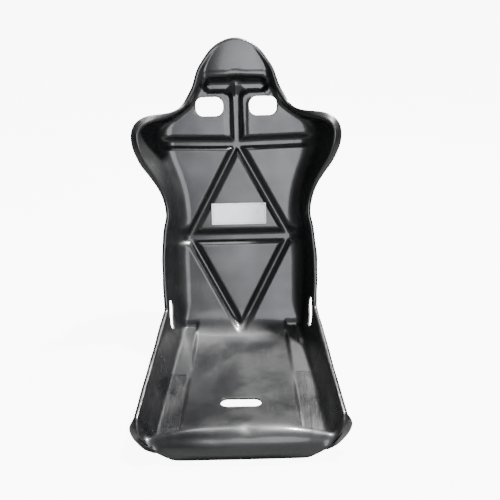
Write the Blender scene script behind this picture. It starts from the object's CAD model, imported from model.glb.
# %% [markdown]
# # A moulded competition seat
# The object is a bare bucket seat: one hand-laid glass-fibre shell in black gelcoat, with its rim
# rolled outwards, stiffening channels pressed into the back and five slots for a harness. Steel
# bars are bonded under the two pads along the base, and a blank label sits on the back.
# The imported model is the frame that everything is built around, so it is loaded first, and the
# box it fills is kept for a comparison at the end.

# %% Load the frame
import math
import bmesh
import bpy
import numpy as np
from mathutils import Matrix, Vector, noise


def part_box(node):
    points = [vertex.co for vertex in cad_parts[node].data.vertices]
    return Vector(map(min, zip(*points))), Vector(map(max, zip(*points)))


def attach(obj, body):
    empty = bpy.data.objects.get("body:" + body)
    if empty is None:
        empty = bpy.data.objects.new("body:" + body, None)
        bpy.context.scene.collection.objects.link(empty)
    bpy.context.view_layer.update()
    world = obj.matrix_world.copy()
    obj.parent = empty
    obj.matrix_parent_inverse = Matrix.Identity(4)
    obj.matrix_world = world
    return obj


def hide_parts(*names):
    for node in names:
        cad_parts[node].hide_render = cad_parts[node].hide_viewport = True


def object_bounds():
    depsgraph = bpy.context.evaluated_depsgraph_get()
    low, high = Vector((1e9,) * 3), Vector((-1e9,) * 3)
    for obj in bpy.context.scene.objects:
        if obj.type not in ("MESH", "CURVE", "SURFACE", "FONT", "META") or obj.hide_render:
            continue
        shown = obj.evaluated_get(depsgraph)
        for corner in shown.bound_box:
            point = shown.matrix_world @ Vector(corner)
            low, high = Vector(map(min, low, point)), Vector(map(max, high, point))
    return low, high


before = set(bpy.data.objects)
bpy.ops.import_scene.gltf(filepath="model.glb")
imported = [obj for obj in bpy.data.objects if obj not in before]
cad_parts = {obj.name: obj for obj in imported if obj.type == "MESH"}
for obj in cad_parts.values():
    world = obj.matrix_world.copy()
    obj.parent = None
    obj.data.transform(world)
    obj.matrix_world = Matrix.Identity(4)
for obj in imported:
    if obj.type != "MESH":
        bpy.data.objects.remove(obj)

cad_low, cad_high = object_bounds()
print("CAD box", [round(v, 3) for v in (*cad_low, *cad_high)])

# %% [markdown]
# ## Drawing units and the reference point
# A shop drawing of a moulding is in millimetres, with its zero where the back meets the level of
# the mounting pads. The frame has its origin under the middle of the seat, so one function moves a
# drawing point into the frame. Where that zero lies is read from a bar cover in the frame: its
# middle is the middle of the pads, and its top touches the underside of the shell.

# %% From the drawing to the frame
MM = 0.001
LAMINATE = 4.5
GAP = 0.3
PAD_LENGTH = 414.0
cover_low, cover_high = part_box("left_bar_cover")
ZERO = Vector((0.0, (cover_low.y + cover_high.y) / 2 + PAD_LENGTH / 2 * MM,
               cover_high.z + (LAMINATE + GAP) * MM))


def to_frame(point):
    """A drawing point in millimetres, as a point of the frame in metres."""
    return ZERO + Vector(point) * MM


print("drawing zero in the frame", [round(v, 4) for v in ZERO])

# %% [markdown]
# ## Camera
# The seat is seen from in front and above, at about standing height from less than two metres,
# with a normal lens and the horizon tipped by a little over a degree. The camera is placed first,
# so that each piece can be looked at as soon as it exists.

# %% Place the camera
EYE = (28.0, -1277.0, 884.0)
LOOK_DOWN = math.radians(26.86)
HORIZON_TIP = math.radians(-1.34)
LENS = 39.96
camera_data = bpy.data.cameras.new("camera")
camera_data.sensor_width = 36.0
camera_data.lens = LENS
camera = bpy.data.objects.new("camera", camera_data)
bpy.context.scene.collection.objects.link(camera)
camera.matrix_world = (Matrix.Translation(to_frame(EYE))
                       @ Matrix.Rotation(math.radians(90) - LOOK_DOWN, 4, "X")
                       @ Matrix.Rotation(HORIZON_TIP, 4, "Z"))
bpy.context.scene.camera = camera
print("camera at", [round(v, 3) for v in camera.location])

# %% [markdown]
# ## The line of the back
# The back leans 26 degrees at the hips and 12 at the head and turns evenly between them, so it is
# an arc. A place on it is t, the length up the back from pad level, and a reach in front of it.

# %% The arc of the back
BACK_LENGTH = 766.0
RECLINE_FOOT = math.radians(26)
RECLINE_TOP = math.radians(12)


def mix(a, b, k):
    return a + (b - a) * k


def ease(value, low, high):
    """0 below low, 1 above high, and a smooth step between them."""
    k = np.clip((value - low) / (high - low), 0.0, 1.0)
    return k * k * (3 - 2 * k)


def lean_at(t):
    return mix(RECLINE_FOOT, RECLINE_TOP, t / BACK_LENGTH)


def on_back(t, reach=0.0):
    """(y, z) of the point t up the back and reach in front of it."""
    turn = (RECLINE_TOP - RECLINE_FOOT) / BACK_LENGTH
    lean = lean_at(t)
    y = (math.cos(RECLINE_FOOT) - math.cos(lean)) / turn
    z = (math.sin(lean) - math.sin(RECLINE_FOOT)) / turn
    return y - reach * math.cos(lean), z + reach * math.sin(lean)


print("top of the head at", [round(v) for v in on_back(BACK_LENGTH)])

# %% [markdown]
# ## Stations of the shell
# A mould maker draws a seat as a row of cross-sections from the lip to the head. Each one says
# where it crosses the middle, where the foot of the side wall is, where the rim is, how round the
# fillet at the foot is, how wide the flange is and how late the floor leaves the height of the
# middle (bow). They are the stations of the frame's own shell, so the two have the same form, and
# only the relief of the head and the flange at the front corners are drawn a little differently.

# %% The stations
BASE_LENGTH, ROLL_HEIGHT, LIP_DEPTH = 454.0, 43.0, 14.0
HIP_HALF, WAIST_HALF, WING_HALF, NECK_HALF, FRONT_HALF = 185.0, 176.0, 243.0, 105.0, 212.0
WING_REACH, WAIST_REACH, HIP_REACH = 105.0, 76.0, 102.0
WING_T, WAIST_T, HIP_T = BACK_LENGTH - 242, 311.0, 65.0
PAD_OUTER = (HIP_HALF - 21, FRONT_HALF - 28)
PAD_INNER = (PAD_OUTER[0] - 38, PAD_OUTER[1] - 50)
PAD_DRAFT = 8.0
FRONT_CORNER = 88.0
BEND_RADIUS, BEND_CORNER_T = 80.0, -13.0
LIP_Y = -BASE_LENGTH
CROTCH_Y = LIP_Y + 133
HIP_KINK = on_back(HIP_T, HIP_REACH)
BEND_TURN = math.pi / 2 - RECLINE_FOOT
BEND_REACH = BEND_RADIUS * math.tan(BEND_TURN / 2)
BACK_START = BEND_CORNER_T + BEND_REACH


def pad_inner(y):
    return mix(*PAD_INNER, -y / PAD_LENGTH)


def pad_outer(y):
    return mix(*PAD_OUTER, -y / PAD_LENGTH)


def base_station(y, z, foot, rim, fillet, flange, bow):
    return [y, z, *foot, *rim, fillet, flange, bow]


def pad_station(y, z, share):
    rear, front = (HIP_HALF, *HIP_KINK), (FRONT_HALF, -PAD_LENGTH, ROLL_HEIGHT + 11)
    rim = [mix(a, b, share) for a, b in zip(rear, front)]
    return base_station(y, z, (pad_outer(y), y, 0), rim, 12, 3, 4)


def bend_station(share, foot_y, foot_z, rim_share):
    """A place on the arc that turns the floor up into the back."""
    rear, front = (HIP_HALF, *HIP_KINK), (FRONT_HALF, -PAD_LENGTH, ROLL_HEIGHT + 11)
    rim = [mix(a, b, rim_share) for a, b in zip(rear, front)]
    y, z = on_back(BEND_CORNER_T)
    a = BEND_TURN * share
    middle = (y - BEND_REACH + BEND_RADIUS * math.sin(a), z + BEND_RADIUS * (1 - math.cos(a)))
    return base_station(*middle, (PAD_OUTER[0], foot_y, foot_z), rim, 14, 3, 4)


def back_station(t, setback, rim_x, rim_t, reach, fillet=36, flange=3):
    """The foot of the wall lies setback inside the rim."""
    middle, rim = on_back(t), on_back(rim_t, reach)
    return [*middle, rim_x - setback, *middle, rim_x, *rim, fillet, flange, 2]


def head_station(below, foot, rim):
    """Half widths are shares of the neck's."""
    foot_share, foot_below, foot_reach = foot
    rim_share, rim_below, rim_reach = rim
    return [*on_back(BACK_LENGTH - below),
            foot_share * NECK_HALF, *on_back(BACK_LENGTH - foot_below, foot_reach),
            rim_share * NECK_HALF, *on_back(BACK_LENGTH - rim_below, rim_reach), 8, 4, 2]


def corner_point(degrees):
    a = math.radians(degrees)
    return (FRONT_HALF - FRONT_CORNER * (1 - math.sin(a)),
            FRONT_CORNER * (1 - math.cos(a)) - LIP_DEPTH)


def hips(k):
    return mix(HIP_T, WAIST_T, k)


def ribs(k):
    return mix(WAIST_T, WING_T, k)


def flare(k):
    return mix(WAIST_HALF, WING_HALF, k)


def reach_in(k):
    return mix(HIP_REACH, WAIST_REACH, k)


def reach_out(k):
    return mix(WAIST_REACH, WING_REACH, k)


def shoulder(k):
    return mix(NECK_HALF, WING_HALF, k)


lip_corner, face_corner = corner_point(35), corner_point(60)
lip_foot = FRONT_HALF - FRONT_CORNER * (1 - math.tan(math.radians(35) / 2))
stations = [
    base_station(LIP_Y, -LIP_DEPTH, (lip_foot, LIP_Y + 3, -LIP_DEPTH),
                 (lip_corner[0], LIP_Y + 8, lip_corner[1]), FRONT_CORNER, 6, 2),
    base_station(LIP_Y - 2, 8, (FRONT_HALF - 32, LIP_Y + 9, 2),
                 (face_corner[0], LIP_Y + 14, face_corner[1]), 40, 6, 3),
    base_station(LIP_Y + 9, ROLL_HEIGHT - 12, (FRONT_HALF - 17, LIP_Y + 18, 15),
                 (FRONT_HALF - 3, LIP_Y + 20, ROLL_HEIGHT - 2), 26, 5, 3),
    base_station(LIP_Y + 25, ROLL_HEIGHT - 0.5, (FRONT_HALF - 12, LIP_Y + 30, 22),
                 (FRONT_HALF + 1, LIP_Y + 30, ROLL_HEIGHT + 6), 18, 4, 3),
    base_station(-PAD_LENGTH - 4, ROLL_HEIGHT + 0.5, (PAD_OUTER[1] + 13, -PAD_LENGTH - 5, 21),
                 (FRONT_HALF, -PAD_LENGTH - 4, ROLL_HEIGHT + 8), 15, 4, 3),
    pad_station(-PAD_LENGTH + 8, ROLL_HEIGHT - 1.5, 0.98),
    pad_station(CROTCH_Y, ROLL_HEIGHT * 0.4, 0.8),
    pad_station(-PAD_LENGTH * 0.51, 0, 0.47),
    pad_station(-PAD_LENGTH * 0.27, -11, 0.16),
    bend_station(0.0, -56, 0, 0.105),
    bend_station(0.33, -26, 0, 0.06),
    bend_station(0.67, 1, 3, 0.02),
    back_station(BACK_START, 21, HIP_HALF, HIP_T + 9, HIP_REACH, 22),
    back_station(HIP_T, 18, HIP_HALF + 1, HIP_T + 20, HIP_REACH - 2, 34),
    back_station(hips(0.25), 20, HIP_HALF + 4, hips(0.26), HIP_REACH - 7),
    back_station(hips(0.55), 21, HIP_HALF + 5, hips(0.55), reach_in(0.58)),
    back_station(hips(0.85), 18, HIP_HALF - 1, hips(0.85), reach_in(0.88)),
    back_station(WAIST_T, 14, WAIST_HALF, WAIST_T, WAIST_REACH),
    back_station(ribs(0.14), 14, flare(0.02), ribs(0.14), WAIST_REACH),
    back_station(ribs(0.28), 15, flare(0.11), ribs(0.28), reach_out(0.1), 38, 4),
    back_station(ribs(0.43), 18, flare(0.28), ribs(0.43), reach_out(0.31), 40, 7),
    back_station(ribs(0.58), 25, flare(0.53), ribs(0.58), reach_out(0.55), 42, 11),
    back_station(ribs(0.7), 33, flare(0.77), ribs(0.7), reach_out(0.76), 42, 15),
    back_station(ribs(0.87), 36, flare(0.95), ribs(0.87), WING_REACH - 1, 42, 18),
    back_station(WING_T, 36, WING_HALF, WING_T - 2, WING_REACH, 42, 18),
    back_station(WING_T + 22, 34, shoulder(0.97), WING_T + 17, WING_REACH * 0.97, 40, 17),
    back_station(WING_T + 38, 30, shoulder(0.85), WING_T + 31, WING_REACH * 0.85, 36, 14),
    back_station(WING_T + 50, 24, shoulder(0.66), WING_T + 36, WING_REACH * 0.64, 32, 11),
    back_station(WING_T + 62, 22, shoulder(0.46), WING_T + 43, WING_REACH * 0.4, 28, 8),
    back_station(WING_T + 84, 15, shoulder(0.2), WING_T + 66, WING_REACH * 0.19, 24, 5),
    back_station(WING_T + 124, 12, NECK_HALF, WING_T + 119, 11, 20, 4),
    back_station(BACK_LENGTH - 70, 13, NECK_HALF - 12, BACK_LENGTH - 75, 6, 16, 4),
    head_station(40, (0.63, 46, 0), (0.735, 49, 2)),
    head_station(14, (0.495, 25, 0), (0.585, 28, 1)),
    head_station(0, (0.38, 12, 0), (0.457, 16, 0)),
]
START_ROW = 12
values = np.array(stations, float)
steps = np.hypot(*np.diff(values[:, :2], axis=0).T)
places = np.concatenate([[0.0], np.cumsum(steps)])
SHELL_LENGTH = places[-1]
FOOT_OF_BACK = places[START_ROW] - BACK_START
print(len(stations), "stations over", round(SHELL_LENGTH), "mm")

# %% [markdown]
# Straight lines between stations would show as flats in a glossy surface. Averaging each value
# over a short length of the shell rounds every change of direction, without the overshoot that
# splines have, and the two ends are mirrored so that the lip and the head keep their places.

# %% Cross-section values at any place
BLEND_LENGTH = 20.0
blend_offsets = np.linspace(-1, 1, 21)[1:-1]
blend_weights = (1 - np.abs(blend_offsets)) / (1 - np.abs(blend_offsets)).sum()


def station_values(s):
    return np.array([np.interp(s, places, column) for column in values.T])


def section(s):
    """The eleven station values at s millimetres from the lip, along the middle."""
    total = np.zeros(values.shape[1])
    for offset, weight in zip(blend_offsets * BLEND_LENGTH, blend_weights):
        place = s + offset
        end = 0.0 if place < 0 else SHELL_LENGTH
        if 0 <= place <= SHELL_LENGTH:
            total += weight * station_values(place)
        else:
            total += weight * (2 * station_values(end) - station_values(2 * end - place))
    return total


print("half width at the widest rim", round(section(FOOT_OF_BACK + WING_T)[5]))

# %% [markdown]
# ## Relief of the back
# Channels pressed into the back keep the thin wall from flexing: a T under the head, an upright
# between the shoulder slots, a level one across the shoulders and a diamond with a bar across its
# middle. A channel is a line with a smooth wall on each side, and where two meet the deeper one
# wins, which leaves the crisp creases that such a pressing has. A shallow ledge runs round the T,
# where the pattern it was moulded over was built up in two layers.

# %% Channels and the head pad
CHANNEL_DEPTH = 12.0
CROSS_BAR = dict(t=WING_T - 20.5, half=19.5, upper=17, lower=10, reach=172, rise=4)
DIAMOND = dict(top=CROSS_BAR["t"] - 3.5, corner=136, middle=251.5, tip=-6, half=15.5, wall=13)
MIDDLE_BAR = dict(half=22.5, upper=18, lower=13)
UPRIGHT = dict(half=19.5, wall=13)
T_BAR = dict(t=BACK_LENGTH - 111.5, half=24.5, upper=22, lower=14, reach=66, depth=21, blend=20)
LEDGE = dict(depth=1.3, wide=11, wall=3.5)
HEAD_PAD = dict(height=5, start=T_BAR["t"] + 12, full=T_BAR["t"] + 27)


def line_distance(x, t, start, end):
    """Distance from the line between two points, and how much of it is up the back."""
    dx, dt = end[0] - start[0], end[1] - start[1]
    along = np.clip(((x - start[0]) * dx + (t - start[1]) * dt) / (dx * dx + dt * dt), 0, 1)
    away_x, away_t = x - start[0] - along * dx, t - start[1] - along * dt
    return np.hypot(away_x, away_t), away_t


def channel(x, t, start, end, half, upper, lower):
    """Share of full depth at x, t, with an upper and a lower wall of their own widths."""
    away, rise = line_distance(x, t, start, end)
    return ease(half - away, 0.0, np.where(rise > 0, upper, lower))


def tee(side, t):
    """Depth of the T bar and its upright, run together with a large fillet."""
    bar_away, rise = line_distance(side, t, (0, T_BAR["t"]), (T_BAR["reach"], T_BAR["t"]))
    bar, post = bar_away - T_BAR["half"], line_distance(side, t, (0, DIAMOND["top"]),
                                                        (0, T_BAR["t"]))[0] - UPRIGHT["half"]
    k = np.clip(0.5 + (post - bar) / (2 * T_BAR["blend"]), 0, 1)
    inside = T_BAR["blend"] * k * (1 - k) - mix(post, bar, k)
    wall = mix(UPRIGHT["wall"], np.where(rise > 0, T_BAR["upper"], T_BAR["lower"]), k)
    ledge = ease(inside, -LEDGE["wide"], LEDGE["wall"] - LEDGE["wide"]) * LEDGE["depth"]
    return np.maximum(ease(inside, 0.0, wall) * mix(CHANNEL_DEPTH, T_BAR["depth"], k), ledge)


def relief(x, t, foot):
    """Height in front of the smooth back, for arrays of x, one t and the foot's half width."""
    side = np.abs(x)
    corner = (DIAMOND["corner"], DIAMOND["middle"])
    sides = dict(half=DIAMOND["half"], upper=DIAMOND["wall"], lower=DIAMOND["wall"])
    cross_end = (CROSS_BAR["reach"], CROSS_BAR["t"] + CROSS_BAR["rise"])
    cross = {key: CROSS_BAR[key] for key in ("half", "upper", "lower")}
    arms = np.maximum.reduce([
        channel(side, t, (0, DIAMOND["top"]), corner, **sides),
        channel(side, t, corner, (0, DIAMOND["tip"]), **sides) * ease(t, -30, 30),
        channel(side, t, (0, corner[1]), corner, **MIDDLE_BAR),
        channel(side, t, (0, CROSS_BAR["t"]), cross_end, **cross),
    ])
    rise = ease(t, HEAD_PAD["start"], HEAD_PAD["full"])
    slope = np.clip((BACK_LENGTH - t) / (BACK_LENGTH - HEAD_PAD["full"]), 0, 1)
    pad = rise * slope * HEAD_PAD["height"] * (1 - np.clip(side / foot, 0, 1) ** 3)
    return pad - np.maximum(arms * CHANNEL_DEPTH, tee(side, t))


def pad_mask(x, y):
    """1 on the two level mounting pads, 0 on the floor beside them."""
    across = ease(np.abs(x), pad_inner(y) - PAD_DRAFT, pad_inner(y))
    along = ease(y, -PAD_LENGTH - 3, -PAD_LENGTH + 3) * (1 - ease(y, 2, 8))
    return across * along


print("deepest channel", round(float(relief(np.array([0.0]), T_BAR["t"], 90.0)[0]), 1), "mm")

# %% [markdown]
# ## One cross-section
# Half a section runs over the floor, round the fillet and up the wall to the rim. The floor
# follows the middle and reaches the height of the foot late, so the pan stays flat between the
# pads. The number of points on each stretch is fixed, so all sections join into one grid.

# %% Points across the shell
FLOOR_CELLS, FILLET_CELLS, WALL_CELLS = 46, 6, 7


def half_section(s):
    """Points from the middle of the shell to its rim, in drawing millimetres."""
    my, mz, fx, fy, fz, rx, ry, rz, fillet, _, bow = section(s)
    foot = np.array([fx, fy, fz])
    wall = np.array([rx, ry, rz]) - foot
    wall_length = np.linalg.norm(wall)
    wall /= wall_length
    turn = math.acos(wall[0])
    reach = min(fillet * math.tan(turn / 2), wall_length * 0.92, fx * 0.5)
    radius = reach / math.tan(turn / 2)
    end = fx - reach
    t = s - FOOT_OF_BACK

    x = np.linspace(0, end, FLOOR_CELLS + 1)
    k = (x / fx) ** bow
    y, z = mix(my, fy, k), mix(mz, fz, k)
    z = mix(z, 0.0, pad_mask(x, y))
    if t > -40:
        height = relief(x, t, fx)
        y = y - height * math.cos(lean_at(t))
        z = z + height * math.sin(lean_at(t))
    floor = np.stack([x, y, z], axis=1)

    up = wall - np.array([wall[0], 0, 0])
    up /= np.linalg.norm(up)
    settle = floor[-1] - np.array([end, fy, fz])
    arc = []
    for i in range(1, FILLET_CELLS + 1):
        a = turn * i / FILLET_CELLS
        point = np.array([end + radius * math.sin(a), fy, fz]) + up * radius * (1 - math.cos(a))
        arc.append(point + settle * (1 - i / FILLET_CELLS))
    climb = np.linspace(reach, wall_length, WALL_CELLS + 1)[1:]
    return np.vstack([floor, arc, foot + climb[:, None] * wall])


print("points in half a section", len(half_section(600.0)))

# %% [markdown]
# ## The sheet
# The moulded surface is a grid of quads. The grid operator makes a flat one with the right number
# of columns and rows, and each vertex is then moved to its place on the shell, which keeps the
# topology clean for the rolled rim and the thickness that come next.

# %% Lay the grid on the sections
BASE_ROWS, BACK_ROWS = 110, 212
row_places = np.concatenate([np.linspace(0, FOOT_OF_BACK, BASE_ROWS + 1)[:-1],
                             np.linspace(FOOT_OF_BACK, SHELL_LENGTH, BACK_ROWS + 1)])
halves = [half_section(s) for s in row_places]
sheet_rows = [np.vstack([half[:0:-1] * (-1, 1, 1), half]) for half in halves]
COLUMNS = len(sheet_rows[0])
ROWS = len(row_places)

shell = bmesh.new()
bmesh.ops.create_grid(shell, x_segments=COLUMNS - 1, y_segments=ROWS - 1, size=1.0)
shell.verts.ensure_lookup_table()
for r, row in enumerate(sheet_rows):
    for c, point in enumerate(row):
        shell.verts[r * COLUMNS + c].co = point
bmesh.ops.recalc_face_normals(shell, faces=shell.faces)
pan_face = min(shell.faces, key=lambda f: (f.calc_center_median() - Vector((0, -200, 0))).length)
if pan_face.normal.z < 0:
    bmesh.ops.reverse_faces(shell, faces=shell.faces)
print("sheet of", len(shell.faces), "quads")

# %% [markdown]
# ## Marks of hand work
# A shell that is laid up and pulled by hand is never quite true: its surface swims by a few tenths
# of a millimetre, and this one has small dents at the thigh roll and in the pan. Real waviness in
# the mesh bends the reflections far better than a bump map would, so each vertex is moved along
# its normal by smooth noise, and by a soft hollow where there is a dent.

# %% Waviness and dents
WAVINESS = ((150.0, 1.0), (55.0, 0.3))
DENTS = (((16, LIP_Y + 27, ROLL_HEIGHT), 13, 2.2), ((-52, LIP_Y + 26, ROLL_HEIGHT), 30, 1.4),
         ((88, -300, 10), 26, 1.2), ((-20, -150, 0), 40, 1.6), ((62, -105, -5), 34, -1.2))
shell.normal_update()
for v in shell.verts:
    lift = sum(height * noise.noise(v.co / length) for length, height in WAVINESS)
    for place, radius, depth in DENTS:
        lift -= depth * math.exp(-((v.co - Vector(place)).length / radius) ** 2)
    v.co += v.normal * lift
shell.normal_update()
print("waviness added to", len(shell.verts), "points, with", len(DENTS), "dents")

# %% [markdown]
# ## The rolled rim
# The laminate is rolled outwards all round, which stiffens it and gives the driver a soft edge.
# On the real seat the flange past the roll is trimmed by hand, so its width wanders a little, and
# at the two front corners it is splayed out flatter. The open edge of the grid is extruded ring by
# ring, each ring turned a little further round the roll.

# %% Roll the edge
RIM_RADIUS = 6.0
RIM_TURN, CORNER_TURN = math.radians(110), math.radians(35)
CORNER_FLANGE = 24.0
CORNER_CENTRE = (FRONT_HALF - FRONT_CORNER, FRONT_CORNER - LIP_DEPTH)
CORNER_BACK = Vector((0.0, 0.95, -0.3))
ROLL_RINGS, FLANGE_RINGS = 5, 2

loop = [(c, 0) for c in range(COLUMNS - 1)]
loop += [(COLUMNS - 1, r) for r in range(ROWS - 1)]
loop += [(c, ROWS - 1) for c in range(COLUMNS - 1, 0, -1)]
loop += [(0, r) for r in range(ROWS - 1, 0, -1)]
ring = [shell.verts[r * COLUMNS + c] for c, r in loop]
base = [v.co.copy() for v in ring]
facing = [v.normal.copy() for v in ring]
count = len(ring)
outward = []
for i in range(count):
    along = base[(i + 1) % count] - base[i - 1]
    outward.append(along.cross(facing[i]).normalized())
for _ in range(3):
    outward = [(outward[i - 1] + outward[i] * 2 + outward[(i + 1) % count]).normalized()
               for i in range(count)]
flanges = [section(row_places[r])[9] for _, r in loop]
corner_share = [float(ease(abs(p.x), FRONT_HALF - 62, FRONT_HALF - 22)
                      * ease(-p.y, PAD_LENGTH - 14, PAD_LENGTH + 16)) for p in base]


def wander(i):
    """Uneven hand trimming of the flange, in millimetres."""
    a = 2 * math.pi * i / count
    return 0.7 * math.sin(7 * a) + 0.5 * math.sin(19 * a + 1) + 0.3 * math.sin(43 * a + 2)


def rolled(angle, flange):
    """How far out and how far back a point of the roll lies."""
    return (RIM_RADIUS * math.sin(angle) + flange * math.cos(angle),
            RIM_RADIUS * (1 - math.cos(angle)) + flange * math.sin(angle))


def ring_point(i, roll, flat):
    out, back = rolled(roll * RIM_TURN, flat * (flanges[i] + wander(i)))
    plain = base[i] + outward[i] * out - facing[i] * back
    if corner_share[i] == 0:
        return plain
    side = math.copysign(1, base[i].x)
    radial = Vector((base[i].x - side * CORNER_CENTRE[0], 0, base[i].z - CORNER_CENTRE[1]))
    out, back = rolled(roll * CORNER_TURN, flat * (CORNER_FLANGE + 2 * wander(i)))
    splayed = base[i] + radial.normalized() * out + CORNER_BACK * back
    return plain.lerp(splayed, corner_share[i])


ring_steps = [((n + 1) / ROLL_RINGS, 0.0) for n in range(ROLL_RINGS)]
ring_steps += [(1.0, (n + 1) / FLANGE_RINGS) for n in range(FLANGE_RINGS)]
for roll, flat in ring_steps:
    edges = [e for e in shell.edges if e.is_boundary]
    grown = bmesh.ops.extrude_edge_only(shell, edges=edges)["geom"]
    fresh = {v for v in grown if isinstance(v, bmesh.types.BMVert)}
    ring = [next(e.other_vert(v) for e in v.link_edges if e.other_vert(v) in fresh) for v in ring]
    for i, v in enumerate(ring):
        v.co = ring_point(i, roll, flat)
bmesh.ops.recalc_face_normals(shell, faces=shell.faces)
print("with the rim", len(shell.faces), "quads")

# %% [markdown]
# The rim turns sharply round the two front corners and at the foot of the neck, and the sheet is
# pinched there. On the mould these places are filled and sanded to a soft hollow. Smoothing the
# vertices near them, all but the trimmed edge, does the same.

# %% Fair the corners and the neck
NECK_HEIGHTS = on_back(WING_T + 40)[1], on_back(WING_T + 128)[1]


def pinched(v):
    """Whether a vertex lies at a front corner or at the foot of the neck."""
    x, y, z = abs(v.co.x), v.co.y, v.co.z
    corner = x > FRONT_HALF - 66 and y < -PAD_LENGTH - 6
    neck = x > NECK_HALF - 6 and NECK_HEIGHTS[0] < z < NECK_HEIGHTS[1]
    return (corner or neck) and not v.is_boundary


fair = [v for v in shell.verts if pinched(v)]
for _ in range(8):
    bmesh.ops.smooth_vert(shell, verts=fair, factor=0.5, use_axis_x=True, use_axis_y=True,
                          use_axis_z=True)
print("faired", len(fair), "points")

# %% [markdown]
# ## Harness slots
# Two shoulder slots, two lap slots and one for the crotch strap are sawn out after moulding. The
# faces inside each outline are deleted, and the ragged edge that is left is pulled onto the
# outline, each vertex sliding within the surface, so that the grid round a slot stays quads.

# %% Cut the five slots
def outline_offset(u, v, wide, high, corner):
    """Distance outside a rounded rectangle and the direction away from it."""
    qu, qv = abs(u) - (wide / 2 - corner), abs(v) - (high / 2 - corner)
    if qu > 0 and qv > 0:
        length = math.hypot(qu, qv)
        away = (qu / length, qv / length)
        distance = length - corner
    elif qu > qv:
        away, distance = (1.0, 0.0), qu - corner
    else:
        away, distance = (0.0, 1.0), qv - corner
    return distance, (math.copysign(away[0], u), math.copysign(away[1], v))


def cut_slot(centre, across, up, wide, high, corner):
    """Removes the faces inside a rounded slot and rounds off the edge that is left."""
    through = across.cross(up).normalized()

    def flat(point):
        offset = point - centre
        return offset.dot(across), offset.dot(up), offset.dot(through)

    near = []
    for face in shell.faces:
        u, v, depth = flat(face.calc_center_median())
        if abs(depth) < 30 and max(abs(u), abs(v)) < wide:
            if outline_offset(u, v, wide, high, corner)[0] < 0:
                near.append(face)
    ring_before = {v for v in shell.verts if v.is_boundary}
    bmesh.ops.delete(shell, geom=near, context="FACES")
    shell.normal_update()
    edge = [v for v in shell.verts if v.is_boundary and v not in ring_before]
    for vert in edge:
        u, v, _ = flat(vert.co)
        distance, away = outline_offset(u, v, wide, high, corner)
        shift = (across * away[0] + up * away[1]) * -distance
        slope = through.dot(vert.normal)
        vert.co += shift - through * (shift.dot(vert.normal) / slope)
    beside = {e.other_vert(v) for v in edge for e in v.link_edges} - set(edge)
    bmesh.ops.smooth_vert(shell, verts=list(beside), factor=0.3, use_axis_x=True, use_axis_y=True,
                          use_axis_z=True)
    return len(near)


SHOULDER_X, SHOULDER_T = 71.0, WING_T + 75
LAP_CENTRE, LAP_SLOPE = (HIP_KINK[0] + 10, HIP_KINK[1] - 20), math.radians(52)
SHOULDER_SLOT = dict(wide=73, high=49, corner=20)
LAP_SLOT = dict(wide=78, high=30, corner=14)
CROTCH_SLOT = dict(wide=92, high=36, corner=17)
shoulder_lean = lean_at(SHOULDER_T)
removed = 0
for side in (-1, 1):
    removed += cut_slot(Vector((side * SHOULDER_X, *on_back(SHOULDER_T))), Vector((1, 0, 0)),
                        Vector((0, math.sin(shoulder_lean), math.cos(shoulder_lean))),
                        **SHOULDER_SLOT)
    removed += cut_slot(Vector((side * (HIP_HALF - 4), *LAP_CENTRE)),
                        Vector((0, math.cos(LAP_SLOPE), math.sin(LAP_SLOPE))),
                        Vector((0, -math.sin(LAP_SLOPE), math.cos(LAP_SLOPE))), **LAP_SLOT)
removed += cut_slot(Vector((0, CROTCH_Y, 10)), Vector((1, 0, 0)), Vector((0, 1, 0)), **CROTCH_SLOT)
print("faces sawn out", removed)

# %% [markdown]
# ## Thickness
# A hand-laid shell is four to five millimetres thick. The Solidify modifier adds it behind the
# moulded face, so the side that touched the mould keeps its exact shape, and gives the raw side
# and the sawn edges their own materials. A small bevel breaks the sharp edges, as sanding does.

# %% Make the shell a solid piece
def add_object(name, bm):
    """Turns a bmesh in drawing millimetres into an object in the frame, smooth shaded."""
    for v in bm.verts:
        v.co = to_frame(v.co)
    mesh = bpy.data.meshes.new(name)
    bm.to_mesh(mesh)
    bm.free()
    mesh.polygons.foreach_set("use_smooth", [True] * len(mesh.polygons))
    piece = bpy.data.objects.new(name, mesh)
    bpy.context.scene.collection.objects.link(piece)
    return piece


EDGE_ROUND = 0.0006
moulded_shell = add_object("moulded_shell", shell)
solidify = moulded_shell.modifiers.new("laminate", "SOLIDIFY")
solidify.thickness = LAMINATE * MM
solidify.offset = -1
solidify.material_offset = 1
solidify.material_offset_rim = 2
edge_break = moulded_shell.modifiers.new("edge break", "BEVEL")
edge_break.width = EDGE_ROUND
edge_break.segments = 2
edge_break.limit_method = "ANGLE"
edge_break.angle_limit = math.radians(50)
edge_break.use_clamp_overlap = True
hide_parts("seat_shell")
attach(moulded_shell, "root")
print("shell quads before thickness", len(moulded_shell.data.polygons))

# %% [markdown]
# ## Weld and bevel on the mounting parts
# The bars, beds, covers and nuts keep their shapes from the frame. Their meshes are loose
# triangles, so a Weld modifier joins them first, and then a Bevel can break the edges.

# %% Break the edges of the mounting parts
EDGE_BREAKS = {"bar_cover": 1.2, "mounting_bar": 0.5, "bonding_bed": 0.5, "nut": 0.4,
               "back_label": 0.25}
for node_name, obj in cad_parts.items():
    width = next((w for ending, w in EDGE_BREAKS.items() if node_name.endswith(ending)), None)
    if width is not None:
        weld = obj.modifiers.new("weld", "WELD")
        weld.merge_threshold = 0.00001
        soften = obj.modifiers.new("edge break", "BEVEL")
        soften.width = width * MM
        soften.segments = 2
        soften.limit_method = "ANGLE"
        soften.angle_limit = math.radians(40)
        soften.use_clamp_overlap = True
print("edges broken on", len(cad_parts) - 1, "nodes")

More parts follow.
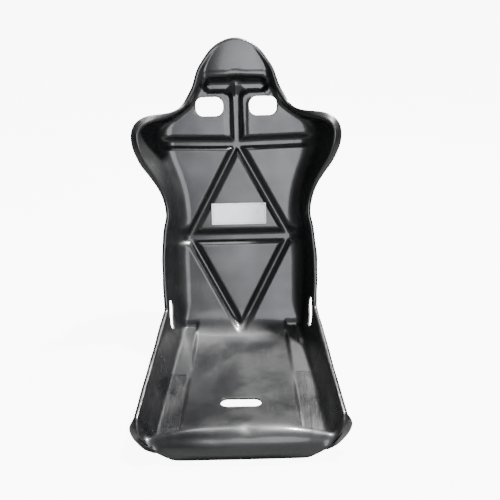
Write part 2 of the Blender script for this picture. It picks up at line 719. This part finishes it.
# %% [markdown]
# ## Writing shaders
# A finish is a graph of nodes. Two small helpers keep the graphs short: one adds a node, and sets
# or links its inputs in the same line, and one starts an effect group with named sockets, so that
# dust, wear or strands are drawn once and used in several finishes.

# %% Node helpers
def add(tree, kind, inputs=None, **settings):
    """Adds a node, sets its settings, and fills its inputs with values or links."""
    made = tree.nodes.new("ShaderNode" + kind)
    for key, value in settings.items():
        setattr(made, key, value)
    for key, value in (inputs or {}).items():
        if isinstance(value, bpy.types.NodeSocket):
            tree.links.new(value, made.inputs[key])
        else:
            made.inputs[key].default_value = value
    return made


def maths(tree, operation, first, second=0.0):
    return add(tree, "Math", {0: first, 1: second}, operation=operation).outputs[0]


def between(tree, value, low, high, to_low=0.0, to_high=1.0):
    """A smooth step of value from low to high, spread over another range."""
    return add(tree, "MapRange", {"Value": value, "From Min": low, "From Max": high,
                                  "To Min": to_low, "To Max": to_high},
               interpolation_type="SMOOTHSTEP").outputs["Result"]


def effect_group(name, inputs, outputs):
    """An empty shader group with float sockets, its input node and its output node."""
    tree = bpy.data.node_groups.new(name, "ShaderNodeTree")
    for label, value in inputs.items():
        tree.interface.new_socket(label, in_out="INPUT",
                                  socket_type="NodeSocketFloat").default_value = value
    for label in outputs:
        tree.interface.new_socket(label, in_out="OUTPUT", socket_type="NodeSocketFloat")
    return tree, tree.nodes.new("NodeGroupInput").outputs, tree.nodes.new("NodeGroupOutput").inputs


def object_noise(tree, scale, detail=2.0, roughness=0.5, stretch=(1, 1, 1), turn=(0, 0, 0)):
    """Noise on Object coordinates, drawn out and turned by a Mapping node."""
    place = add(tree, "TexCoord").outputs["Object"]
    place = add(tree, "Mapping", {"Vector": place, "Rotation": turn, "Scale": stretch}).outputs[0]
    return add(tree, "TexNoise", {"Vector": place, "Scale": scale, "Detail": detail,
                                  "Roughness": roughness}).outputs["Fac"]


def use_effect(tree, group, **inputs):
    """Places an effect group in a material and returns its outputs."""
    placed = tree.nodes.new("ShaderNodeGroup")
    placed.node_tree = group
    for key, value in inputs.items():
        placed.inputs[key].default_value = value
    return placed.outputs


def principled(name, **values):
    """A material, its tree and its shader, with plain values on the shader's own sockets."""
    material = bpy.data.materials.new(name)
    material.use_nodes = True
    shader = material.node_tree.nodes["Principled BSDF"]
    for key, value in values.items():
        shader.inputs[key.replace("_", " ")].default_value = value
    return material, material.node_tree, shader


print("node helpers ready")

# %% [markdown]
# ## Shared effects
# Dust settles on faces that look up, in patches and as single specks. Edges that hands and straps
# rub are paler. Polished gelcoat has orange peel and fine scratches, and the raw side of a
# moulding shows the strands of the chopped glass mat. Each of these is a group that puts out masks
# or heights only, so the shader of each finish decides what they do to its colour and gloss.

# %% Dust and edge wear
dust, dust_in, dust_out = effect_group("settled_dust", {"Film": 0.5, "Specks": 0.5}, ["Mask"])
up = add(dust, "SeparateXYZ", {0: add(dust, "NewGeometry").outputs["Normal"]}).outputs["Z"]
looks_up = between(dust, up, -0.1, 0.9, 0.15, 1.0)
patches = between(dust, object_noise(dust, 9, 4, 0.6), 0.42, 0.68)
specks = between(dust, object_noise(dust, 620, 1), 0.70, 0.76)
film = maths(dust, "MULTIPLY", maths(dust, "MULTIPLY", patches, looks_up), dust_in["Film"])
points = maths(dust, "MULTIPLY", maths(dust, "MULTIPLY", specks, looks_up), dust_in["Specks"])
dust.links.new(maths(dust, "MAXIMUM", film, points), dust_out["Mask"])

wear, wear_in, wear_out = effect_group("edge_wear", {"Amount": 0.5}, ["Mask"])
sharp = between(wear, add(wear, "NewGeometry").outputs["Pointiness"], 0.53, 0.62)
uneven = between(wear, object_noise(wear, 70, 4, 0.7), 0.4, 0.65)
worn = maths(wear, "MULTIPLY", maths(wear, "MULTIPLY", sharp, uneven), wear_in["Amount"])
wear.links.new(worn, wear_out["Mask"])
print("groups", dust.name, "and", wear.name)

# %% [markdown]
# Orange peel is a fine ripple with a longer wave under it, so its group adds two noises. Scratches
# are noise drawn out very long in three directions: only its thin crests are kept, and only in
# patches, because a seat is scratched where belts and buckles are thrown down.

# %% Orange peel and scratches
peel, peel_in, peel_out = effect_group("orange_peel", {"Peel": 0.5, "Waves": 0.5}, ["Height"])
fine = maths(peel, "MULTIPLY", object_noise(peel, 330, 1), peel_in["Peel"])
broad = maths(peel, "MULTIPLY", object_noise(peel, 34, 2), peel_in["Waves"])
peel.links.new(maths(peel, "ADD", fine, broad), peel_out["Height"])

scratches, scratches_in, scratches_out = effect_group("fine_scratches", {"Amount": 0.5}, ["Mask"])
lines = []
for turn in ((0.2, 0.5, 0.9), (1.1, -0.4, -0.5), (-0.5, 1.0, 0.3)):
    hair = object_noise(scratches, 260, 1, stretch=(1, 0.012, 0.2), turn=turn)
    lines.append(between(scratches, hair, 0.72, 0.75))
most = maths(scratches, "MAXIMUM", maths(scratches, "MAXIMUM", lines[0], lines[1]), lines[2])
where = between(scratches, object_noise(scratches, 14, 2), 0.48, 0.62)
shown = maths(scratches, "MULTIPLY", maths(scratches, "MULTIPLY", most, where),
              scratches_in["Amount"])
scratches.links.new(shown, scratches_out["Mask"])
print("groups", peel.name, "and", scratches.name)

# %% [markdown]
# Chopped mat is short fibres lying in all directions. Four layers of drawn-out noise, each turned
# another way, are laid over each other, and the highest one wins at each point. The mask colours
# the fibres, and the height, with some lumps of resin added, raises them.

# %% Strands of the glass mat
strands, strands_in, strands_out = effect_group("glass_strands", {"Scale": 90.0},
                                                ["Mask", "Height"])
layers = []
for turn in ((0, 0, 0.3), (0.4, 0, 1.4), (0, 0.5, 2.3), (0.3, 0.3, 3.0)):
    layer = object_noise(strands, 90, 2, stretch=(1, 0.09, 0.35), turn=turn)
    strands.links.new(strands_in["Scale"], layer.node.inputs["Scale"])
    layers.append(between(strands, layer, 0.5, 0.66))
top_two = maths(strands, "MAXIMUM", layers[0], layers[1])
woven = maths(strands, "MAXIMUM", top_two, maths(strands, "MAXIMUM", layers[2], layers[3]))
strands.links.new(woven, strands_out["Mask"])
strands.links.new(maths(strands, "ADD", woven, object_noise(strands, 45, 5, 0.7)),
                  strands_out["Height"])
print("group", strands.name)

# %% [markdown]
# ## Black gelcoat
# The face that the driver sees is black gelcoat with a satin polish. A rough lower layer gives the
# broad sheen and a thin clear coat over it gives the sharper reflections. On the pads, from their
# middle to the front, an extra layer of mat was laid in before the gelcoat had set, and it prints
# through as a rough, glossy patch with a visible edge.

# %% The gelcoat finish
PATCH_START = to_frame((0, -196, 0)).y
PATCH_INNER = PAD_INNER[1] * MM
gelcoat, tree, shader = principled("black_gelcoat", Coat_Weight=0.35, Coat_Roughness=0.16,
                                   Coat_IOR=1.5)
place = add(tree, "SeparateXYZ", {0: add(tree, "TexCoord").outputs["Object"]}).outputs
side = maths(tree, "ABSOLUTE", place["X"])
ragged = maths(tree, "MULTIPLY", object_noise(tree, 60, 3), 0.008)
patch_y = between(tree, maths(tree, "ADD", place["Y"], ragged), PATCH_START, PATCH_START + 0.003,
                  1.0, 0.0)
patch_front = between(tree, place["Y"], to_frame((0, -PAD_LENGTH - 2, 0)).y,
                      to_frame((0, -PAD_LENGTH + 8, 0)).y)
patch_x = between(tree, side, PATCH_INNER - 0.006, PATCH_INNER + 0.004)
patch = maths(tree, "MULTIPLY", maths(tree, "MULTIPLY", patch_y, patch_x), patch_front)
mat_print = use_effect(tree, strands, Scale=130.0)
skin = use_effect(tree, peel, Peel=0.16, Waves=0.5)["Height"]
grain = maths(tree, "MULTIPLY", maths(tree, "ADD", mat_print["Height"], 1.2), patch)
height = maths(tree, "ADD", skin, maths(tree, "MULTIPLY", grain, 0.55))
dust_mask = use_effect(tree, dust, Film=0.16, Specks=0.5)["Mask"]
wear_mask = use_effect(tree, wear, Amount=0.5)["Mask"]
scratch_mask = use_effect(tree, scratches, Amount=0.6)["Mask"]
pale = maths(tree, "ADD", maths(tree, "MULTIPLY", dust_mask, 0.5),
             maths(tree, "ADD", maths(tree, "MULTIPLY", wear_mask, 0.3),
                   maths(tree, "MULTIPLY", scratch_mask, 0.12)))
colour = add(tree, "Mix", {"Factor": pale, "A": (0.003, 0.0031, 0.0036, 1),
                           "B": (0.16, 0.16, 0.15, 1)}, data_type="RGBA")
tree.links.new(colour.outputs["Result"], shader.inputs["Base Color"])
gloss = between(tree, object_noise(tree, 7, 4, 0.6), 0.3, 0.7, 0.36, 0.5)
gloss = maths(tree, "ADD", gloss, maths(tree, "MULTIPLY", pale, 0.8))
gloss = maths(tree, "SUBTRACT", gloss, maths(tree, "MULTIPLY", patch, 0.14))
tree.links.new(gloss, shader.inputs["Roughness"])
bump = add(tree, "Bump", {"Height": height, "Strength": 0.55, "Distance": 0.0009})
tree.links.new(bump.outputs["Normal"], shader.inputs["Normal"])
print(gelcoat.name, "has", len(tree.nodes), "nodes")

# %% [markdown]
# ## Raw glass mat and sawn edges
# The back of the shell and the covers over the bars never touched the mould. They show chopped
# strands wetted out with black resin: glossy, lumpy and full of short fibres. The trimmed edges
# are sawn through the laminate, so they are matt, and greyer than the gelcoat.

# %% Glass mat and edge finishes
def strand_finish(name, resin, fibre, roughness, scale, lumps):
    """Chopped-strand laminate, from its two colours and how lumpy it is."""
    material, tree, shader = principled(name, Coat_Weight=0.2, Coat_Roughness=0.3)
    fibres = use_effect(tree, strands, Scale=scale)
    dust_mask = use_effect(tree, dust, Film=0.2, Specks=0.4)["Mask"]
    colour = add(tree, "Mix", {"Factor": fibres["Mask"], "A": resin, "B": fibre},
                 data_type="RGBA").outputs["Result"]
    dusty = maths(tree, "MULTIPLY", dust_mask, 0.4)
    colour = add(tree, "Mix", {"Factor": dusty, "A": colour, "B": (0.2, 0.19, 0.17, 1)},
                 data_type="RGBA")
    tree.links.new(colour.outputs["Result"], shader.inputs["Base Color"])
    gloss = between(tree, object_noise(tree, 24, 3), 0.35, 0.65, roughness - 0.1, roughness + 0.12)
    tree.links.new(gloss, shader.inputs["Roughness"])
    bump = add(tree, "Bump", {"Height": fibres["Height"], "Strength": 0.8, "Distance": lumps * MM})
    tree.links.new(bump.outputs["Normal"], shader.inputs["Normal"])
    return material


raw_mat = strand_finish("raw_glass_mat", (0.006, 0.006, 0.0065, 1), (0.02, 0.02, 0.019, 1),
                        0.45, 170.0, 0.8)
cover_mat = strand_finish("cover_glass_mat", (0.008, 0.008, 0.008, 1), (0.032, 0.031, 0.03, 1),
                          0.45, 190.0, 0.8)

sawn_edge, tree, shader = principled("sawn_edge", Specular_IOR_Level=0.35)
cut_lines = object_noise(tree, 500, 3, 0.7)
colour = add(tree, "Mix", {"Factor": cut_lines, "A": (0.012, 0.012, 0.012, 1),
                           "B": (0.09, 0.088, 0.08, 1)}, data_type="RGBA")
tree.links.new(colour.outputs["Result"], shader.inputs["Base Color"])
tree.links.new(between(tree, cut_lines, 0.3, 0.7, 0.6, 0.9), shader.inputs["Roughness"])
bump = add(tree, "Bump", {"Height": cut_lines, "Strength": 0.7, "Distance": 0.0005})
tree.links.new(bump.outputs["Normal"], shader.inputs["Normal"])
for material in (gelcoat, raw_mat, sawn_edge):
    moulded_shell.data.materials.append(material)
print("shell finishes", [m.name for m in moulded_shell.data.materials])

# %% [markdown]
# ## Steel, paste and label
# The bars and nuts are zinc plated: a cool, slightly yellowed metal with cloudy gloss and rubbed
# edges. The paste they are bedded in is a grey filled resin, left as it squeezed out. The label is
# white film with a thin grey line round it, and carries no lettering.

# %% Steel, paste and label finishes
zinc, tree, shader = principled("zinc_plated_steel", Metallic=1.0)
cloud = object_noise(tree, 60, 5, 0.65)
spangle = add(tree, "Mix", {"Factor": cloud, "A": (0.42, 0.43, 0.45, 1),
                            "B": (0.66, 0.65, 0.58, 1)}, data_type="RGBA").outputs["Result"]
rubbed = use_effect(tree, wear, Amount=0.9)["Mask"]
spangle = add(tree, "Mix", {"Factor": rubbed, "A": spangle, "B": (0.3, 0.28, 0.25, 1)},
              data_type="RGBA")
tree.links.new(spangle.outputs["Result"], shader.inputs["Base Color"])
tree.links.new(between(tree, cloud, 0.3, 0.7, 0.28, 0.5), shader.inputs["Roughness"])
crystals = object_noise(tree, 900, 2)
bump = add(tree, "Bump", {"Height": crystals, "Strength": 0.3, "Distance": 0.0003})
tree.links.new(bump.outputs["Normal"], shader.inputs["Normal"])

paste, tree, shader = principled("cured_paste")
filler = object_noise(tree, 240, 5, 0.7)
colour = add(tree, "Mix", {"Factor": filler, "A": (0.09, 0.09, 0.08, 1),
                           "B": (0.17, 0.165, 0.15, 1)}, data_type="RGBA")
tree.links.new(colour.outputs["Result"], shader.inputs["Base Color"])
tree.links.new(between(tree, filler, 0.3, 0.7, 0.75, 0.95), shader.inputs["Roughness"])
bump = add(tree, "Bump", {"Height": filler, "Strength": 0.8, "Distance": 0.0008})
tree.links.new(bump.outputs["Normal"], shader.inputs["Normal"])

LABEL_WIDE, LABEL_HIGH, LABEL_T = 148.0, 57.0, DIAMOND["middle"] + 61
BORDER_INSET, BORDER_WIDE = 4.0, 0.9
label_low, label_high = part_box("back_label")
label_middle = (label_low + label_high) / 2
label_lean = lean_at(LABEL_T)
film, tree, shader = principled("white_label_film", Coat_Weight=0.3, Coat_Roughness=0.15)
place = add(tree, "Mapping", {"Vector": add(tree, "TexCoord").outputs["Object"],
                              "Location": label_middle, "Rotation": (-label_lean, 0, 0)},
            vector_type="TEXTURE").outputs[0]
place = add(tree, "SeparateXYZ", {0: place}).outputs
edge_x = maths(tree, "SUBTRACT", LABEL_WIDE / 2 * MM, maths(tree, "ABSOLUTE", place["X"]))
edge_z = maths(tree, "SUBTRACT", LABEL_HIGH / 2 * MM, maths(tree, "ABSOLUTE", place["Z"]))
inset = maths(tree, "MINIMUM", edge_x, edge_z)
off_line = maths(tree, "ABSOLUTE", maths(tree, "SUBTRACT", inset, BORDER_INSET * MM))
line = between(tree, off_line, BORDER_WIDE / 2 * MM, (BORDER_WIDE / 2 + 0.2) * MM, 1.0, 0.0)
scuffs = use_effect(tree, scratches, Amount=0.5)["Mask"]
stain = between(tree, object_noise(tree, 22, 4, 0.6), 0.35, 0.75)
colour = add(tree, "Mix", {"Factor": stain, "A": (0.93, 0.95, 0.98, 1),
                           "B": (0.82, 0.85, 0.9, 1)}, data_type="RGBA").outputs["Result"]
ink = maths(tree, "MULTIPLY", line, 0.75)
colour = add(tree, "Mix", {"Factor": ink, "A": colour, "B": (0.16, 0.2, 0.27, 1)},
             data_type="RGBA").outputs["Result"]
colour = add(tree, "Mix", {"Factor": scuffs, "A": colour, "B": (0.5, 0.5, 0.5, 1)},
             data_type="RGBA")
tree.links.new(colour.outputs["Result"], shader.inputs["Base Color"])
tree.links.new(between(tree, stain, 0.2, 0.8, 0.3, 0.45), shader.inputs["Roughness"])
bump = add(tree, "Bump", {"Height": object_noise(tree, 40, 2), "Strength": 0.3, "Distance": 0.0006})
tree.links.new(bump.outputs["Normal"], shader.inputs["Normal"])

FINISHES = {"bar_cover": cover_mat, "mounting_bar": zinc, "nut": zinc, "bonding_bed": paste,
            "back_label": film}
for node_name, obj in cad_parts.items():
    finish = next((m for ending, m in FINISHES.items() if node_name.endswith(ending)), None)
    if finish is not None:
        obj.data.materials.clear()
        obj.data.materials.append(finish)
print("finishes", sorted({m.name for m in FINISHES.values()}))

# %% [markdown]
# ## Floor and light
# The seat stands in a plain pale studio. A wide softbox in front and above is what the flat panels
# of the back mirror, so it sets their tone. A small lamp above and behind the seat's left shoulder
# lights the pan, the thigh roll and the rims, and throws the shadow of the shoulder wing onto the
# pan. A weak softbox overhead fills that shadow. The floor and the world glow for the camera
# alone, as a lit backdrop does, so that the black shell is not washed out by them.

# %% Floor and world
BACKDROP = 9.0
floor_bm = bmesh.new()
bmesh.ops.create_grid(floor_bm, x_segments=1, y_segments=1, size=30)
floor_mesh = bpy.data.meshes.new("floor")
floor_bm.to_mesh(floor_mesh)
floor_bm.free()
floor = bpy.data.objects.new("floor", floor_mesh)
bpy.context.scene.collection.objects.link(floor)
floor.location.z = cad_low.z - 0.0005
floor_paint, tree, shader = principled("pale_floor", Base_Color=(0.2, 0.2, 0.198, 1),
                                       Roughness=0.9, Emission_Strength=BACKDROP)
seen = add(tree, "LightPath").outputs["Is Camera Ray"]
tree.links.new(add(tree, "CombineColor", {0: seen, 1: seen, 2: seen}).outputs[0],
               shader.inputs["Emission Color"])
floor.data.materials.append(floor_paint)

world = bpy.data.worlds.new("studio")
bpy.context.scene.world = world
world.use_nodes = True
background = world.node_tree.nodes["Background"]
background.inputs["Color"].default_value = (0.97, 0.98, 1.0, 1)
seen = add(world.node_tree, "LightPath").outputs["Is Camera Ray"]
world.node_tree.links.new(between(world.node_tree, seen, 0.0, 1.0, 0.08, BACKDROP + 1),
                          background.inputs["Strength"])
print("backdrop strength", BACKDROP)

# %% [markdown]
# Each lamp is a disc that is aimed at the middle of the seat. A disc gives round, soft-edged
# highlights, and its size decides how soft: the front one is wide and even, and the small one
# behind the shoulder is sharp enough to draw the edge of a shadow. The front light is slightly
# cool, as daylight through a blind is.

# %% Lamps
def area_light(name, location, target, size, power, colour=(1.0, 1.0, 1.0)):
    data = bpy.data.lights.new(name, "AREA")
    data.color = colour
    data.shape = "DISK"
    data.size = size
    data.energy = power
    light = bpy.data.objects.new(name, data)
    light.location = location
    aim = Vector(target) - Vector(location)
    light.rotation_euler = aim.to_track_quat("-Z", "Y").to_euler()
    bpy.context.scene.collection.objects.link(light)
    return light


target = (0, 0, 0.3)
area_light("front_softbox", (0.6, -4.0, 2.3), target, 2.5, 185, (0.92, 0.955, 1.0))
area_light("overhead", (-0.6, 1.1, 2.9), target, 1.0, 30)
area_light("key", (0.95, 0.8, 2.9), target, 0.22, 560)
